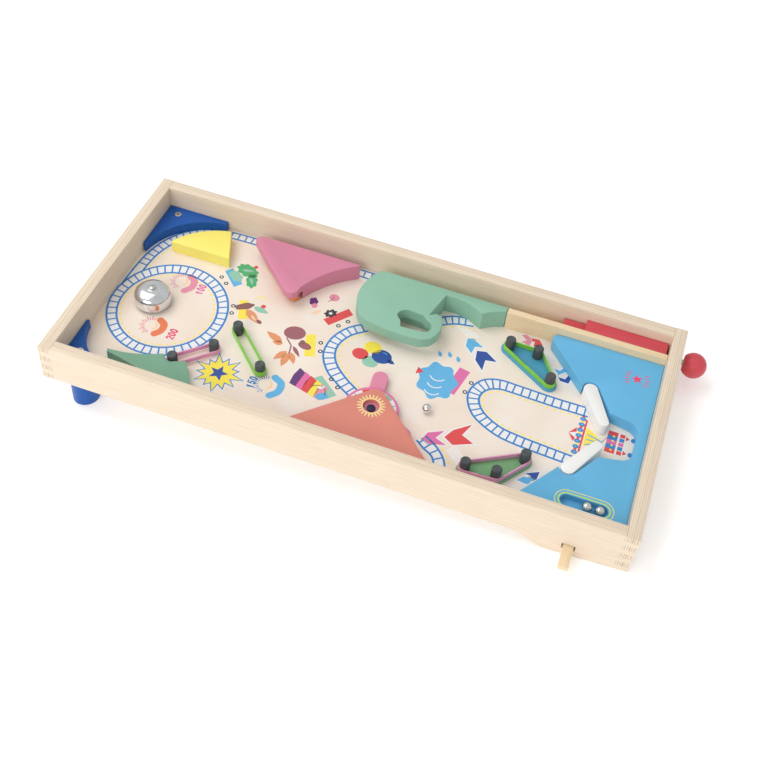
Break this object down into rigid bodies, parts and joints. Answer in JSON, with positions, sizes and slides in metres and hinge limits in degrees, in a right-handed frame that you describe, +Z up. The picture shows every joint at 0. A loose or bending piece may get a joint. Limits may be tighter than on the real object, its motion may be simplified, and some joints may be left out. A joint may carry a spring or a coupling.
{
  "type": "pinball machine",
  "caption": "Tabletop wooden pinball game: tilted plywood tray with a spring plunger, push-rod flippers, rubber bumpers, a spinning score wheel and a bell.",
  "frame": {"origin": "centre of the bounding box, on the table surface", "axes": "+X along the tray from the back wall to the player, +Y from the near side wall to the far one (the shooter lane), +Z up"},
  "size_m": [0.6291, 0.3264, 0.0933],
  "materials": {
    "plywood": "clear satin lacquer over pale birch plywood",
    "beech": "smooth pale beech, thin lacquer",
    "playfield": "printed thin plywood, satin lacquer",
    "dark_blue_paint": "satin paint on wood, brush-free",
    "yellow_paint": "satin paint on wood, brush-free",
    "pink_paint": "satin paint on wood, brush-free",
    "green_paint": "satin paint on wood, brush-free",
    "salmon_paint": "satin paint on wood, brush-free",
    "sky_paint": "satin paint on wood, brush-free",
    "teal_paint": "satin paint on wood, brush-free",
    "leaf_paint": "satin paint on wood, brush-free",
    "red_paint": "satin paint on wood, brush-free",
    "white_paint": "smooth white satin paint on wood",
    "wheel_paint": "satin paint on wood, brush-free",
    "post_plastic": "dark grey moulded plastic",
    "pink_rubber": "soft matte band",
    "green_rubber": "soft matte band",
    "orange_rubber": "soft matte band",
    "bell_chrome": "polished plating",
    "ball_steel": "polished steel ball",
    "zinc_steel": "bright zinc plating",
    "crank_plastic": "moulded off-white plastic"
  },
  "bodies": {
    "cabinet": {"back_wall": "plywood", "bell_dome": "bell_chrome", "bell_post": "zinc_steel", "blue_triangle_plate": "teal_paint", "corner_block_far": "dark_blue_paint", "corner_block_near": "dark_blue_paint", "corner_screw_far": "zinc_steel", "corner_screw_near": "zinc_steel", "drain_plate": "sky_paint", "far_bumper_band": "green_rubber", "far_bumper_post_1": "post_plastic", "far_bumper_post_2": "post_plastic", "far_bumper_post_3": "post_plastic", "far_side_wall": "plywood", "foot_far": "dark_blue_paint", "foot_near": "dark_blue_paint", "front_wall": "plywood", "green_arch_block": "green_paint", "green_bumper_band": "green_rubber", "green_bumper_post_1": "post_plastic", "green_bumper_post_2": "post_plastic", "green_lens_block": "green_paint", "green_triangle_plate": "leaf_paint", "lane_divider": "beech", "near_bumper_band": "pink_rubber", "near_bumper_post_1": "post_plastic", "near_bumper_post_2": "post_plastic", "near_bumper_post_3": "post_plastic", "near_side_wall": "plywood", "pink_bumper_band": "pink_rubber", "pink_bumper_post_1": "post_plastic", "pink_bumper_post_2": "post_plastic", "pink_roof_block": "pink_paint", "playfield_board": "playfield", "plunger_cover": "red_paint", "plunger_spring": "zinc_steel", "return_spring_far": "zinc_steel", "return_spring_near": "zinc_steel", "roof_bumper_band": "orange_rubber", "roof_bumper_post_1": "post_plastic", "roof_bumper_post_2": "post_plastic", "spring_stop_block": "beech", "wheel_axle": "zinc_steel", "wheel_cover": "salmon_paint", "yellow_block": "yellow_paint"},
    "near_flipper": {"flipper_near": "white_paint", "flipper_pin_near": "zinc_steel", "flipper_crank_near": "crank_plastic"},
    "far_flipper": {"flipper_far": "white_paint", "flipper_pin_far": "zinc_steel", "flipper_crank_far": "crank_plastic"},
    "near_push_rod": {"push_rod_near": "beech"},
    "far_push_rod": {"push_rod_far": "beech"},
    "plunger": {"plunger_striker": "red_paint", "plunger_shaft": "zinc_steel", "plunger_knob": "red_paint"},
    "score_wheel_body": {"score_wheel": "wheel_paint"},
    "rolling_ball": {"field_ball": "ball_steel"},
    "stored_ball_1": {"spare_ball_1": "ball_steel"},
    "stored_ball_2": {"spare_ball_2": "ball_steel"}
  },
  "joints": [
    {"name": "near_push_rod_press", "type": "slide", "parent": "cabinet", "child": "near_push_rod", "axis": [0, 1, 0], "range_m": [0, 0.0185], "stiffness_N_per_m": 80, "springref_m": -0.01, "deforming": ["return_spring_near"]},
    {"name": "far_push_rod_press", "type": "slide", "parent": "cabinet", "child": "far_push_rod", "axis": [0, -1, 0], "range_m": [0, 0.0185], "stiffness_N_per_m": 80, "springref_m": -0.01, "deforming": ["return_spring_far"]},
    {"name": "near_flipper_swing", "type": "hinge", "parent": "cabinet", "child": "near_flipper", "pos_m": [0.20629, -0.06575, 0.02905], "axis": [0.0698, 0, 0.9976], "range_deg": [0, 50]},
    {"name": "far_flipper_swing", "type": "hinge", "parent": "cabinet", "child": "far_flipper", "pos_m": [0.20629, 0.04025, 0.02905], "axis": [-0.0698, 0, -0.9976], "range_deg": [0, 50]},
    {"name": "plunger_pull", "type": "slide", "parent": "cabinet", "child": "plunger", "axis": [0.9976, 0, -0.0698], "range_m": [0, 0.03], "stiffness_N_per_m": 150, "springref_m": -0.01, "deforming": ["plunger_spring"]},
    {"name": "score_wheel_spin", "type": "hinge", "parent": "cabinet", "child": "score_wheel_body", "pos_m": [0.00664, -0.06525, 0.04101], "axis": [0.0698, 0, 0.9976], "continuous": true},
    {"name": "rolling_ball_run", "type": "slide", "parent": "cabinet", "child": "rolling_ball", "axis": [0.9976, 0, -0.0698], "range_m": [0, 0.125]},
    {"name": "stored_ball_1_lift", "type": "slide", "parent": "cabinet", "child": "stored_ball_1", "axis": [0.0698, 0, 0.9976], "range_m": [0, 0.03]},
    {"name": "stored_ball_2_lift", "type": "slide", "parent": "cabinet", "child": "stored_ball_2", "axis": [0.0698, 0, 0.9976], "range_m": [0, 0.03]}
  ],
  "couplings": [
    {"joint": "near_flipper_swing", "follows": "near_push_rod_press", "rad_per_m": 46.93},
    {"joint": "far_flipper_swing", "follows": "far_push_rod_press", "rad_per_m": 46.93}
  ]
}
